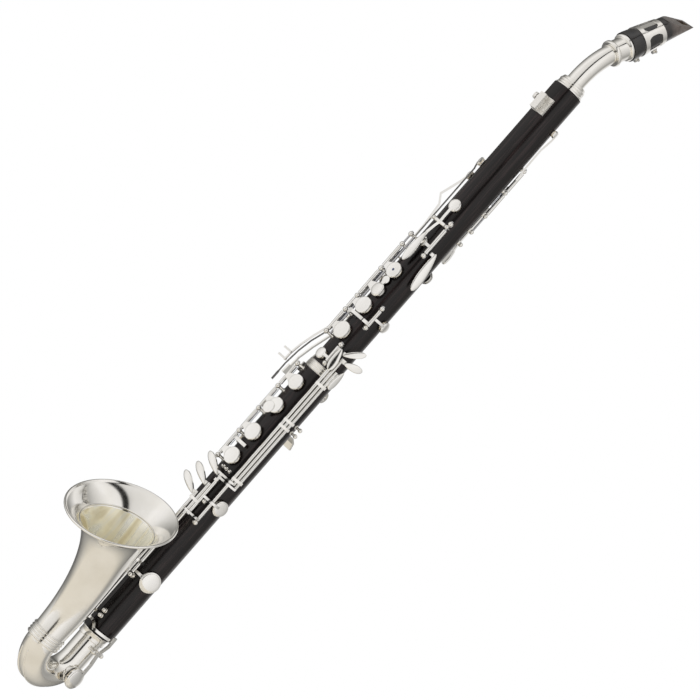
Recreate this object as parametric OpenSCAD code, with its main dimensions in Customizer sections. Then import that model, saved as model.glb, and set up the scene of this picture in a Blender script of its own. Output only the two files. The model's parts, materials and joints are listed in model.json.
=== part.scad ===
// Alto clarinet with covered finger plates, a bent metal neck and an upturned metal bell.
// The body axis is vertical, the mouthpiece end is up, the finger plates face -Y and the
// player's left hand side is +X. Places on the body are given as d (distance below the top
// of the wooden body), a (angle round the body from the front towards +X) and a radius.
// The origin is the centre of the strap ring's eye, on the back of the lower joint.

/* [Wooden body] */
// Length of the upper joint
upper_len = 351; // [330:1:352]
// Outer radius of the upper joint
upper_r = 16.0; // [15.8:0.1:16.1]
// Length of the metal rings between the joints
ring_len = 9; // [6:1:9]
// Bottom end of the lower joint, below the top of the body
body_len = 683; // [682:1:690]
// Outer radius of the lower joint
lower_r = 17.2; // [17:0.1:17.3]
// Radius of the air bore
bore_r = 8.4; // [8:0.1:9]

/* [Neck and mouthpiece] */
// Outer radius of the neck tube
neck_r = 9.6; // [9.4:0.1:9.8]
// Height at which the neck starts to bend
neck_rise = 13; // [12:1:20]
// Radius of the neck's bend
neck_bend_r = 78.5; // [70:0.5:90]
// Angle of the neck's bend
neck_bend = 34; // [30:1:38]
// Length of the receiver beyond the bend
receiver_len = 17; // [16:1:20]
// Length of the mouthpiece outside the receiver
mouthpiece_len = 83; // [80:1:88]
// Radius of the mouthpiece at its lower end
mouthpiece_r = 15; // [14.6:0.1:15.4]

/* [Bow and bell] */
// Radius of the bow's U bend along the middle of the tube
bow_bend_r = 27.3; // [26:0.1:29]
// Depth of the middle of the bow's bend below the top of the body
bow_d = 716; // [714:1:720]
// Radius of the bow tube below the wood
bow_r1 = 13.5; // [13:0.1:13.8]
// Radius of the bow tube at the bell
bow_r2 = 15.4; // [15:0.1:15.8]
// Wall of the bow and the bell
horn_wall = 1.2; // [1:0.1:1.5]
// Radius of the bell's throat
bell_r1 = 16.1; // [15.9:0.1:16.4]
// Radius of the bell's rim
bell_r2 = 53.5; // [50:0.5:60]
// Straight length of the bow between its bend and the bell
bell_leg = 6.5; // [4:0.5:8]
// Straight length at the bell's throat
bell_rise = 17; // [10:0.5:20]
// Radius of the curve that carries the bell forwards
bell_bend_r = 210; // [190:5:230]
// Forward tilt of the bell's mouth
bell_tilt = 34; // [30:1:36]

/* [Keywork] */
// Radius of the steel hinge rods
rod_r = 1.0; // [0.9:0.05:1.0]
// Running clearance of key tubes and shafts, on the radius
run_fit = 0.06; // [0.03:0.01:0.1]
// Outer radius of the hinge tubes
tube_r = 2.0; // [1.9:0.05:2.0]
// Radius of the long key shafts
shaft_r = 1.6; // [1.5:0.05:1.6]
// Radius of the ball at the head of a post
ball_r = 2.6; // [2.2:0.1:2.7]
// Opening angle of the finger plates at rest
open_deg = 6; // [5:0.5:6]
// Height of a pad under its cup
pad_h = 1.6; // [1.4:0.1:1.8]
// Height of a pad cup
cup_h = 2.2; // [2:0.1:2.4]
// Gap between a closed pad and its seat
seat_gap = 0.2; // [0.2:0.05:0.4]

/* [Hidden] */
$fn = 48;

// The strap ring's eye, which is the origin
eye_d = 374;
eye_y = 25.5;
eye_r = 3.6;

lower_d = upper_len + ring_len;
seat_u = upper_r + 0.4;
seat_l = lower_r + 0.4;
key_bore = rod_r + run_fit;

// Hinge lines: [radius, angle]
stack_u = [24, -38];
stack_l = [24.5, -37];
stack_a = 2;
register_hinge = [19.2, 128];
throat_g_hinge = [20.5, 35];
thumb_hinge = [21.4, 208];
cross_hinge = [20, 46];
c_sharp_hinge = [20.5, 25];
lever_lines = [[21.5, 44], [21.5, 54.5], [21.5, 65]];
pinky_lines = [[22.2, 15], [22.2, 6], [22.2, -7]];
throat_a_axis = [8, 175, 19.5];
side_angles = [-52, -72, -92, -112];
side_pivots = [225, 240, 300, 318];
side_pads = [105, 121, 250, 275];
low_pivot = [18.5, 698];

// Finger plates: [middle of the plate, radius, top and bottom end of its hinge tube]
lh_index = [238, 8.1, 216.6, 241.3];
lh_linked = [262, 7.2, 247.4, 275.8];
lh_middle = [282, 8.6, 281.8, 293];
lh_ring = [313, 8.9, 299, 320.5];
rh_index = [379, 7.9, 368, 390];
rh_middle = [408, 8.1, 396, 418];
rh_ring = [441, 8.8, 424, 446.4];
rh_lower = [471, 8.6, 461.2, 477];
sliver_tube = [452.4, 460.8];

function polar(r, a) = [r * sin(a), -r * cos(a)];
function unit(v) = v / norm(v);
function turned(v) = [-v.y, v.x];
// Sideways direction of a path at point i, lengthened at a corner so that the strip keeps its width
function side_at(p, i) =
    let (last = len(p) - 1,
         u = unit(p[min(i + 1, last)] - p[min(i, last - 1)]),
         v = unit(p[max(i, 1)] - p[max(i - 1, 0)]),
         m = unit(u + v))
    turned(m) / max(m * u, 0.5);
// Outline of a strip of thickness t along path p
function strip_outline(p, t) = concat(
    [for (i = [0:len(p) - 1]) p[i] + side_at(p, i) * t / 2],
    [for (i = [len(p) - 1:-1:0]) p[i] - side_at(p, i) * t / 2]);
// Path round the body from [r1, a1] to [r2, a2]
function round_path(r1, a1, r2, a2, n = 8) =
    [for (i = [0:n]) polar(r1 + (r2 - r1) * i / n, a1 + (a2 - a1) * i / n)];
// Teardrop outline, l long and w wide, with its narrow end at the start
function leaf_outline(l, w, n = 20) =
    [for (i = [0:n - 1]) let (t = 360 * i / n, x = (1 - cos(t)) / 2)
        [x * l, sin(t) * w / 2 * (0.55 + 0.45 * x)]];

module in_frame() { translate([0, -eye_y, eye_d]) children(); }
// Local frame on the body: X along the circumference, Y up the body, Z outwards
module face(d, a) { translate([0, 0, -d]) rotate([0, 0, a]) rotate([90, 0, 0]) children(); }
// Local frame in the plane of the body axis at angle a: X outwards, Y up the body
module radial_plane(a, w) {
    rotate([0, 0, a - 90]) rotate([90, 0, 0]) linear_extrude(w, center = true) children();
}
// Turns closed finger plates to where they rest open
module about(line, deg) {
    p = polar(line[0], line[1]);
    translate([p.x, p.y, 0]) rotate([0, 0, deg]) translate([-p.x, -p.y, 0]) children();
}
module rod(line, r, d1, d2) {
    p = polar(line[0], line[1]);
    translate([p.x, p.y, -d2]) cylinder(r = r, h = d2 - d1);
}
module key_bore(line, d1, d2) { rod(line, key_bore, d1 - 1, d2 + 1); }
// Arm round the body, w wide along the body and t thick
module arm(d, w, t, path) {
    translate([0, 0, -d - w / 2]) linear_extrude(w) polygon(strip_outline(path, t));
}
// Pad cup with a bevelled edge; its lower face is at radius z
module cup(d, a, r, z, h = cup_h) {
    face(d, a) translate([0, 0, z]) {
        cylinder(r = r, h = h - 0.7);
        translate([0, 0, h - 0.7]) cylinder(r1 = r, r2 = r - 0.9, h = 0.7);
    }
}
// Closed pad and cup in one solid, for keys whose pad is not a node of its own
module padded_cup(d, a, r, seat) {
    cup(d, a, r, seat + seat_gap + pad_h);
    face(d, a) translate([0, 0, seat + seat_gap]) cylinder(r = r - 0.6, h = pad_h + 0.2);
}
module leaf(d, a, z, l, w, tilt, slant = 0, t = 1.8) {
    face(d, a) translate([0, 0, z]) rotate([0, 0, slant - 90]) rotate([0, tilt, 0])
        linear_extrude(t) polygon(leaf_outline(l, w));
}
// Tone hole with a raised flat seat
module seats(list, seat) {
    for (s = list) face(s[0], s[1]) translate([0, 0, 9]) cylinder(r = s[2] + 1.6, h = seat - 9);
}
module tone_holes(list, seat) {
    for (s = list) face(s[0], s[1]) translate([0, 0, 4]) cylinder(r = s[2], h = seat);
}

upper_holes = concat(
    [for (p = [lh_index, lh_linked, lh_middle, lh_ring]) [p[0], 0, p[1] - 3]],
    [[154, 7, 3.6], [199.4, 2, 3], [285, 98, 3.4], [342.5, -8, 3.6], [40, 111, 2], [222, 168, 4.5]],
    [for (i = [0:3]) [side_pads[i], side_angles[i], 2.4]]);
lower_holes = concat(
    [for (p = [rh_index, rh_middle, rh_ring, rh_lower]) [p[0], stack_a, p[1] - 3]],
    [[517, 74, 5.4], [613, 60, 7.6], [456, -85, 2.6]]);

module upper_joint() {
    color([0.09, 0.07, 0.07]) difference() {
        union() {
            translate([0, 0, -upper_len]) cylinder(r = upper_r, h = upper_len, $fn = 96);
            translate([0, 0, -upper_len - 18]) cylinder(r = 11.2, h = 18.5);
            seats(upper_holes, seat_u);
        }
        translate([0, 0, -upper_len - 20]) cylinder(r = bore_r, h = upper_len + 22);
        translate([0, 0, -17]) cylinder(r = 10.6, h = 18);
        tone_holes(upper_holes, seat_u);
    }
}

module lower_joint() {
    color([0.09, 0.07, 0.07]) difference() {
        union() {
            translate([0, 0, -body_len]) cylinder(r = lower_r, h = body_len - lower_d, $fn = 96);
            translate([0, 0, -body_len - 18]) cylinder(r = 10.9, h = 18.5);
            seats(lower_holes, seat_l);
        }
        translate([0, 0, -body_len - 20]) cylinder(r = bore_r, h = body_len - lower_d + 22);
        translate([0, 0, -lower_d - 12]) cylinder(r = 12, h = 13);
        tone_holes(lower_holes, seat_l);
    }
}

// Three-beaded socket ring between the joints
module middle_rings() {
    color([0.9, 0.9, 0.88]) translate([0, 0, -lower_d]) difference() {
        rotate_extrude($fn = 96) union() {
            translate([12.1, 0]) square([lower_r - 12.1, ring_len]);
            for (i = [0:2]) translate([lower_r - 0.3, ring_len * (i + 0.5) / 3]) circle(r = 1, $fn = 24);
        }
        translate([0, 0, -1]) cylinder(r = 12.1, h = ring_len + 2);
    }
}

module tenon_corks() {
    color([0.76, 0.6, 0.42]) {
        translate([0, 0, -upper_len - 17]) cork(11.2, 11.9, 14);
        translate([0, 0, -body_len - 16]) cork(10.9, 11.5, 13);
    }
}
module cork(ri, ro, h) {
    difference() {
        cylinder(r = ro, h = h);
        translate([0, 0, -1]) cylinder(r = ri, h = h + 2);
    }
}

// Shell swept along a path in the YZ plane. Each ring is [y, z, direction from up, radius].
module horn(rings, wall, sides) {
    n = len(rings);
    all = concat(
        [for (q = rings) [q[0], q[1], q[2], q[3]]],
        [for (i = [n - 1:-1:0]) let (q = rings[i]) [q[0], q[1], q[2], q[3] - wall]]);
    points = [for (q = all) for (k = [0:sides - 1]) let (t = 360 * k / sides)
        [q[3] * cos(t), q[0] + q[3] * sin(t) * cos(q[2]), q[1] + q[3] * sin(t) * sin(q[2])]];
    m = len(all);
    polyhedron(points, [for (i = [0:m - 1]) for (k = [0:sides - 1]) for (half = [0, 1])
        let (j = (i + 1) % m, e = (k + 1) % sides,
             a = i * sides + k, b = i * sides + e, c = j * sides + e, f = j * sides + k)
        half == 0 ? [a, c, b] : [a, f, c]]);
}

// Rings of the bow, from the bell's end back to the wood
bow_turns = 20;
bow_rings = concat([[-2 * bow_bend_r, bell_leg - bow_d, -180, bow_r2]],
    [for (i = [bow_turns:-1:0]) let (t = 180 * i / bow_turns)
        [-bow_bend_r * (1 - cos(t)), -bow_d - bow_bend_r * sin(t), -t,
         bow_r1 + (bow_r2 - bow_r1) * i / bow_turns]],
    [[0, -body_len - 1, 0, bow_r1]]);
module bow() {
    color([0.9, 0.89, 0.86]) union() {
        horn(bow_rings, horn_wall, 36);
        // Seat of the lowest key, on the +X side of the bend
        translate([9.6, -3.3, -729]) rotate([0, 90, 0]) difference() {
            cylinder(r = 9.5, h = 4.8);
            translate([0, 0, -1]) cylinder(r = 8.3, h = 7);
        }
    }
}

// Four-lined ferrule that joins the bow and the bell
ferrule_h = 12.5;
module bell_ring() {
    bow_side = bow_r2 + 0.06;
    bell_side = bell_r1 + 0.5;
    outer = bell_r1 + 1;
    color([0.9, 0.9, 0.88]) translate([0, -2 * bow_bend_r, bell_leg - bow_d])
            rotate_extrude($fn = 96) union() {
        polygon([[bow_side, -8], [outer, -8], [outer, ferrule_h - 8], [bell_side, ferrule_h - 8],
            [bell_side, 0], [bow_side, 0]]);
        for (i = [0:3]) translate([outer, -6.5 + (ferrule_h - 3) * i / 3])
            circle(r = 0.8, $fn = 20);
    }
}

// The bell flares as r = throat * (reach / (reach - s)) ^ 0.5 along its length s
flare = 0.5;
bell_len = bell_rise + bell_bend_r * bell_tilt * PI / 180;
reach_ratio = pow(bell_r2 / bell_r1, 1 / flare);
reach = bell_len * reach_ratio / (reach_ratio - 1);
function bell_at(s) = let (t = max(0, s - bell_rise) / bell_bend_r * 180 / PI)
    [-2 * bow_bend_r - bell_bend_r * (1 - cos(t)),
     bell_leg - bow_d + min(s, bell_rise) + bell_bend_r * sin(t), t,
     bell_r1 * pow(reach / (reach - s), flare)];
bell_steps = 17;
rim = bell_at(bell_len);
// Rings of the rolled rim: [distance along the rim's axis, extra radius]
rim_roll = [[-1.2, 0.7], [0.2, 1.3], [1.4, 0.8]];
bell_rings = concat(
    [for (i = [0:bell_steps - 1]) bell_at(bell_len * (1 - pow(1 - i / bell_steps, 1.5)))],
    [for (q = rim_roll) [rim[0] - q[0] * sin(rim[2]), rim[1] + q[0] * cos(rim[2]), rim[2],
                         rim[3] + q[1]]]);
module bell() { color([0.9, 0.89, 0.86]) horn(bell_rings, horn_wall, 44); }

module neck_socket_ring() {
    color([0.9, 0.9, 0.88]) difference() {
        rotate_extrude($fn = 64) polygon([[10.7, 0.1], [15.2, 0.1], [15.2, 1.6], [14.3, 2.2],
            [14.3, 4.2], [13.8, 4.6], [14.3, 5], [14.3, 7], [13.8, 7.4], [13.6, 8], [12.6, 10.4],
            [10.7, 10.4]]);
        translate([0, 0, -1]) cylinder(r = 10.7, h = 14);
    }
}

// Holder for a music lyre: a plate, a square boss with a round socket, and a thumb screw
socket_r = 2.1;
socket_at = [-1.5, -21.2];
socket_d = [18, 35.5];
module lyre_socket() {
    color([0.9, 0.9, 0.88]) difference() {
        union() {
            translate([-8, -17.6, -35.8]) cube([16, 2.4, 18.2]);
            translate([socket_at.x - 3.6, -24.8, -socket_d[1]])
                cube([7.2, 8, socket_d[1] - socket_d[0]]);
            translate([socket_at.x, socket_at.y, -24.2]) rotate([0, -90, 0]) cylinder(r = 2.8, h = 5);
        }
        cylinder(r = upper_r + 0.05, h = 100, center = true, $fn = 96);
        translate([socket_at.x, socket_at.y, -40]) cylinder(r = socket_r, h = 30);
        translate([socket_at.x, socket_at.y, -24.2]) rotate([0, -90, 0]) cylinder(r = 1.3, h = 12);
        for (d = [21.4, 31.6]) translate([5.4, -15, -d]) rotate([90, 0, 0]) cylinder(r = 1, h = 6);
    }
}
module lyre_screw() {
    color([0.88, 0.88, 0.86]) translate([socket_at.x, socket_at.y, -24.2]) rotate([0, -90, 0]) {
        translate([0, 0, 2.3]) cylinder(r = 1.24, h = 4.5);
        translate([0, 0, 5.6]) cylinder(r = 3.4, h = 3.2);
        translate([0, 0, 8.8]) cylinder(r1 = 3.4, r2 = 2.4, h = 0.8);
    }
}
// Identical small screws: two in the lyre plate, two each in the strap ring and thumb rest
module plate_screws() {
    color([0.85, 0.85, 0.83]) {
        for (d = [21.4, 31.6]) translate([5.4, -13.6, -d]) rotate([90, 0, 0]) small_screw(4);
        for (d = [eye_d - 9, eye_d + 9, 416, 432])
            translate([0, lower_r - 3, -d]) rotate([-90, 0, 0]) small_screw(5);
    }
}
module small_screw(shank) {
    cylinder(r = 0.95, h = shank + 0.2);
    translate([0, 0, shank]) difference() {
        cylinder(r = 1.9, h = 1);
        translate([-3, -0.25, 0.5]) cube([6, 0.5, 1]);
    }
}

// Base plate on the back with a standing eye for the neck strap
module strap_ring() {
    color([0.9, 0.9, 0.88]) difference() {
        union() {
            translate([-4.5, lower_r - 1.5, -eye_d - 12.5]) cube([9, 3.5, 25]);
            translate([-1.5, eye_y, -eye_d]) rotate([0, 90, 0]) cylinder(r = 6.4, h = 3);
            translate([-1.5, lower_r, -eye_d - 4]) cube([3, 4, 8]);
        }
        cylinder(r = lower_r + 0.05, h = 2000, center = true, $fn = 96);
        translate([-5, eye_y, -eye_d]) rotate([0, 90, 0]) cylinder(r = eye_r, h = 10);
        for (d = [eye_d - 9, eye_d + 9])
            translate([0, lower_r - 2, -d]) rotate([-90, 0, 0]) cylinder(r = 1, h = 6);
    }
}

// Hook for the right thumb
module thumb_rest() {
    color([0.9, 0.9, 0.88]) difference() {
        union() {
            translate([-6, lower_r - 1.8, -438]) cube([12, 3.8, 27]);
            translate([-6.5, 0, 0]) rotate([90, 0, 90]) linear_extrude(13)
                polygon([[lower_r + 1.2, -424.5], [lower_r + 9, -424.5], [lower_r + 14, -427.5],
                    [lower_r + 16.4, -434], [lower_r + 17.9, -433.4], [lower_r + 15.4, -426.2],
                    [lower_r + 9.6, -422.6], [lower_r + 1.2, -422.4]]);
        }
        cylinder(r = lower_r + 0.05, h = 2000, center = true, $fn = 96);
        for (d = [416, 432])
            translate([0, lower_r - 2, -d]) rotate([-90, 0, 0]) cylinder(r = 1, h = 6);
    }
}

// Bent neck: tenon, bend and receiver
module at_receiver() {
    translate([0, neck_bend_r * (1 - cos(neck_bend)), neck_rise + neck_bend_r * sin(neck_bend)])
        rotate([-neck_bend, 0, 0]) children();
}
neck_wall = 1.1;
neck_turns = 12;
neck_rings = concat(
    [[0, -16, 0, neck_r], [0, neck_rise / 2, 0, neck_r]],
    [for (i = [0:neck_turns]) let (t = neck_bend * i / neck_turns)
        [neck_bend_r * (1 - cos(t)), neck_rise + neck_bend_r * sin(t), -t, neck_r]]);
module neck_tube() { color([0.92, 0.91, 0.89]) horn(neck_rings, neck_wall, 36); }
// Sleeve on the neck's end that takes the mouthpiece's tenon
module neck_receiver() {
    color([0.92, 0.91, 0.89]) at_receiver() rotate_extrude($fn = 64) polygon([
        [neck_r + 0.12, -2.6], [12.4, -2.6], [13.2, -1.4], [13.2, 0.6], [12.4, 1.8], [11.5, 1.8],
        [11.5, receiver_len - 3.4], [12.6, receiver_len - 3.4], [14, receiver_len - 2.2],
        [14, receiver_len], [10.4, receiver_len], [10.4, 1.5], [8.6, 1.5], [8.6, 0.3],
        [neck_r + 0.12, 0.3]]);
}
module neck_cork() {
    color([0.76, 0.6, 0.42]) translate([0, 0, -14.5]) cork(neck_r, 10.5, 13);
}

// Mouthpiece frame: origin on the receiver's end, Z along the mouthpiece, +Y towards the reed
module at_mouthpiece() { at_receiver() translate([0, 0, receiver_len]) children(); }
table_y = 10.4;
tip_y = 8.4;
module mouthpiece_cones() {
    translate([0, 0, 4.8]) cylinder(r1 = mouthpiece_r, r2 = 12.4, h = 36);
    translate([0, 0, 40.8]) cylinder(r1 = 12.4, r2 = 10.8, h = mouthpiece_len - 40.8);
}
module mouthpiece() {
    color([0.08, 0.08, 0.08]) at_mouthpiece() difference() {
        union() {
            translate([0, 0, -14.5]) cylinder(r = 10.32, h = 15);
            translate([0, 0, 0.3]) cylinder(r = mouthpiece_r, h = 4.5);
            mouthpiece_cones();
        }
        // Air bore and window
        translate([0, 0, -16]) cylinder(r = 7.4, h = 52);
        translate([-5, 0, 34]) cube([10, 20, mouthpiece_len - 38]);
        // Flat table for the reed
        translate([-20, 0, 0]) rotate([90, 0, 90]) linear_extrude(40)
            polygon([[table_y, 16], [tip_y, mouthpiece_len + 1], [30, mouthpiece_len + 1], [30, 14]]);
        // Slanted beak
        translate([-20, 0, 0]) rotate([90, 0, 90]) linear_extrude(40)
            polygon([[-14, 45.5], [tip_y - 1.2, mouthpiece_len], [tip_y + 2, mouthpiece_len + 2],
                [-30, mouthpiece_len + 2], [-30, 45.5]]);
        // Narrowing sides of the beak
        for (s = [-1, 1]) scale([s, 1, 1]) translate([0, 20, 0]) rotate([90, 0, 0])
            linear_extrude(40) polygon([[13.5, 42], [7.6, mouthpiece_len + 1], [20, mouthpiece_len + 1],
                [20, 42]]);
    }
}
module reed() {
    color([0.86, 0.74, 0.5]) at_mouthpiece() intersection() {
        translate([-6.6, 0, 0]) rotate([90, 0, 90]) linear_extrude(13.2)
            polygon([[table_y + 0.05, 17.5], [table_y + 3, 17.5], [table_y + 2.6, 48],
                [tip_y + 0.4, mouthpiece_len - 0.5], [tip_y + 0.05, mouthpiece_len - 0.5]]);
        mouthpiece_cones();
    }
}
// Two bands joined by strips, split under the reed, with screw lugs beside the slot
ligature_screws = [13, 36];
ligature_bands = [[14.3, 15.15, 14.75], [37.2, 13.5, 13.1]];
band_w = 5.4;
module ligature() {
    color([0.9, 0.9, 0.88]) at_mouthpiece() difference() {
        union() {
            for (b = ligature_bands) rotate_extrude($fn = 64) polygon([[b[1] - 0.75, b[0]], [b[1], b[0]],
                [b[2], b[0] + band_w], [b[2] - 0.75, b[0] + band_w]]);
            for (s = [-90, 30, 150]) rotate([0, 0, s]) rotate([90, 0, 0])
                translate([0, 0, -2.6]) linear_extrude(5.2) polygon([[14, 17], [14.75, 17],
                    [13.05, 40], [12.3, 40]]);
            for (x = [-4.7, 2.1]) {
                for (z = ligature_screws) translate([x, 11, z - 2.6]) cube([2.6, 8.8, 5.2]);
                translate([x, 12, 10.8]) cube([2.6, 1.6, 31]);
            }
        }
        translate([-2, 5, 5]) cube([4, 12, 45]);
        for (z = ligature_screws) translate([-10, 17.2, z]) rotate([0, 90, 0]) cylinder(r = 1.3, h = 20);
    }
}
module ligature_screw(z) {
    color([0.86, 0.86, 0.84]) at_mouthpiece() translate([-13.5, 17.2, z]) rotate([0, 90, 0]) {
        cylinder(r = 3.2, h = 1);
        translate([0, 0, 1]) cylinder(r = 3.8, h = 5.4);
        translate([0, 0, 6.2]) cylinder(r = 1.24, h = 14.5);
    }
}
module ligature_screw_lower() { ligature_screw(ligature_screws[0]); }
module ligature_screw_upper() { ligature_screw(ligature_screws[1]); }

// Round post: a foot, a stem and a ball at the hinge line
module post(line, d, surface, ball = ball_r, stem = 1.5) {
    face(d, line[1]) {
        translate([0, 0, surface - 3]) cylinder(r = stem, h = line[0] - surface + 3);
        translate([0, 0, surface - 0.4]) cylinder(r = stem + 1.1, h = 1);
        translate([0, 0, line[0]]) sphere(r = ball, $fn = 32);
    }
}
// Post beside a transverse pivot, off the middle of its local frame by x
module side_post(d, a, x, z, surface, ball = 1.7, stem = 0.9) {
    face(d, a) translate([x, 0, 0]) {
        translate([0, 0, surface - 4]) cylinder(r = stem, h = z - surface + 4);
        translate([0, 0, z]) sphere(r = ball, $fn = 24);
    }
}
// Saddle that carries long shafts; lines are the shafts it bears
module saddle(d, lines, surface, a1, a2, w = 3) {
    difference() {
        arm(d, w, lines[0][0] + 2.3 - surface + 1.2,
            round_path((lines[0][0] + 2.3 + surface - 1.2) / 2, a1,
                       (lines[0][0] + 2.3 + surface - 1.2) / 2, a2));
        for (q = lines) rod(q, shaft_r + run_fit, d - w, d + w);
    }
}

stack_posts_u = [201, 213.7, 244.4, 278.8, 296, 323.5];
stack_posts_l = [365, 393, 421, 449.4, 480];
module posts_upper() {
    color([0.88, 0.88, 0.86]) {
        for (d = stack_posts_u) post(stack_u, d, upper_r);
        for (d = [85, 112.3, 141.5, 161.5, 177.4]) post(register_hinge, d, upper_r, 2.3);
        for (d = [170.3, 209.6]) post(throat_g_hinge, d, upper_r);
        for (d = [208, 236]) post(thumb_hinge, d, upper_r);
        for (d = [273.3, 296.9]) post(cross_hinge, d, upper_r, 2.4);
        for (d = [324.4, 347.3]) post(c_sharp_hinge, d, upper_r, 2.4);
        for (x = [-8.6, 8.6])
            side_post(throat_a_axis[1], throat_a_axis[0], x, throat_a_axis[2], 13.5, 2.2, 1.3);
        for (i = [0:3]) for (x = [-2.6, 2.6])
            side_post(side_pivots[i], side_angles[i], x, 20.5, upper_r, 1.15);
    }
}
module posts_lower() {
    color([0.88, 0.88, 0.86]) {
        for (d = stack_posts_l) post(stack_l, d, lower_r);
        for (d = [366, 411.6, 418.8, 486]) saddle(d, lever_lines, lower_r, 39, 70);
        for (d = [411.6, 418.8]) post([23, 100], d, lower_r, 2.2, 1.3);
        post([21.5, 44], 541.6, lower_r, 2.5);
        saddle(498, [pinky_lines[0]], lower_r, 10, 20);
        saddle(525.4, pinky_lines, lower_r, -12, 20);
        saddle(562, [pinky_lines[1], pinky_lines[2]], lower_r, -12, 11);
        saddle(604, [pinky_lines[1], pinky_lines[2]], lower_r, -12, 11);
        saddle(666, [pinky_lines[2]], lower_r, -12, -2);
        post([20.4, 25], 521, lower_r, 2.2, 1.3);
        for (d = [661, 667]) post([20.2, 14], d, lower_r, 2.2, 1.3);
        post([22.2, 6], 619, lower_r, 2.3);
        for (a = [-6, 8, 22]) post([19.6, a], 484.4, lower_r, 1.5, 0.7);
        // Posts of the lowest key, standing on the bow
        for (y = [-7, 7]) translate([0, y, -low_pivot[1]]) {
            translate([10, 0, 0]) rotate([0, 90, 0]) cylinder(r = 1.3, h = low_pivot[0] - 10);
            translate([low_pivot[0], 0, 0]) sphere(r = 2.2, $fn = 24);
        }
    }
}

module hinge_rods_upper() {
    color([0.6, 0.6, 0.62]) {
        rod(stack_u, rod_r, 199, 325.5);
        rod([19.8, -34], 1.1, 201, 323.5);
        rod(register_hinge, rod_r, 83.5, 163);
        rod(throat_g_hinge, rod_r, 169, 211);
        rod(thumb_hinge, rod_r, 206.5, 237.5);
        rod(cross_hinge, rod_r, 272, 298.4);
        rod(c_sharp_hinge, rod_r, 323, 348.8);
        face(throat_a_axis[1], throat_a_axis[0]) translate([-9.8, 0, throat_a_axis[2]])
            rotate([0, 90, 0]) cylinder(r = rod_r, h = 19.6);
        for (i = [0:3]) face(side_pivots[i], side_angles[i]) translate([-3.4, 0, 20.5])
            rotate([0, 90, 0]) cylinder(r = 0.7, h = 6.8);
    }
}
module hinge_rods_lower() {
    color([0.6, 0.6, 0.62]) {
        rod(stack_l, rod_r, 363, 482);
        translate([low_pivot[0], 8.4, -low_pivot[1]]) rotate([90, 0, 0]) cylinder(r = rod_r, h = 16.8);
    }
}

// Thin wires from the posts, just below the hinge tubes that they push
module needle_springs() {
    color([0.25, 0.28, 0.36]) {
        for (d = [213.7, 244.4, 278.8, 296]) rod([20.8, -40], 0.3, d + 0.5, d + 16);
        for (d = [365, 393, 421, 449.4]) rod([21.3, -39], 0.3, d + 0.5, d + 16);
        rod([17.4, 34], 0.3, 171.5, 188);
        rod([17.2, 45.5], 0.3, 274.4, 284);
        rod([17.5, 24], 0.3, 325.4, 338);
        rod([16.6, 127], 0.3, 113.4, 130);
    }
}

// Finger plate with its arm and hinge tube, closed; seat and side give the joint it is on
module finger_plate(p, line, a, seat) {
    rel = line[1] - a;
    hinge = [line[0] * sin(rel), line[0] * cos(rel)];
    base = seat + seat_gap + pad_h;
    rod(line, tube_r, p[2], p[3]);
    cup(p[0], a, p[1], base);
    arm_at = min(max(p[0], p[2] + 2.5), p[3] - 2.5);
    face(p[0], a) translate([0, 0, base + 0.15]) linear_extrude(1.7) polygon([
        [hinge.x, p[0] - arm_at + 2], [-p[1] * 0.55, p[1] * 0.75],
        [-p[1] * 0.55, -p[1] * 0.75], [hinge.x, p[0] - arm_at - 2]]);
}
module plate_key(p, line, a, seat) {
    color([0.93, 0.93, 0.92]) about(line, -open_deg) difference() {
        union() {
            finger_plate(p, line, a, seat);
            children();
        }
        key_bore(line, p[2], p[3]);
    }
}
module plate_pad(p, line, a, seat) {
    color([0.93, 0.9, 0.82]) about(line, -open_deg) face(p[0], a)
        translate([0, 0, seat + seat_gap]) cylinder(r = p[1] - 0.6, h = pad_h - 0.02);
}
module lh_index_key() { plate_key(lh_index, stack_u, 0, seat_u); }
module lh_index_pad() { plate_pad(lh_index, stack_u, 0, seat_u); }
module lh_middle_key() { plate_key(lh_middle, stack_u, 0, seat_u); }
module lh_middle_pad() { plate_pad(lh_middle, stack_u, 0, seat_u); }
module lh_ring_key() { plate_key(lh_ring, stack_u, 0, seat_u); }
module lh_ring_pad() { plate_pad(lh_ring, stack_u, 0, seat_u); }
module rh_index_key() { plate_key(rh_index, stack_l, stack_a, seat_l); }
module rh_index_pad() { plate_pad(rh_index, stack_l, stack_a, seat_l); }
module rh_middle_key() { plate_key(rh_middle, stack_l, stack_a, seat_l); }
module rh_middle_pad() { plate_pad(rh_middle, stack_l, stack_a, seat_l); }
module rh_ring_key() { plate_key(rh_ring, stack_l, stack_a, seat_l); }
module rh_ring_pad() { plate_pad(rh_ring, stack_l, stack_a, seat_l); }
module rh_lower_key() { plate_key(rh_lower, stack_l, stack_a, seat_l); }
module rh_lower_pad() { plate_pad(rh_lower, stack_l, stack_a, seat_l); }

// Cup that the index finger's key carries down with it, by a small disc under the index plate
module linked_key() {
    plate_key(lh_linked, stack_u, 0, seat_u) {
        face(lh_linked[0], 0) translate([0, 0, seat_u + seat_gap]) cylinder(r = 6.6, h = pad_h + 0.2);
        face(249.9, 0) translate([-1.5, 0, seat_u + seat_gap + pad_h - 1.3]) {
            cylinder(r = 4.2, h = 1);
            translate([-2, -7, 0.2]) cube([4, 5, 1.4]);
        }
    }
}

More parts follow.
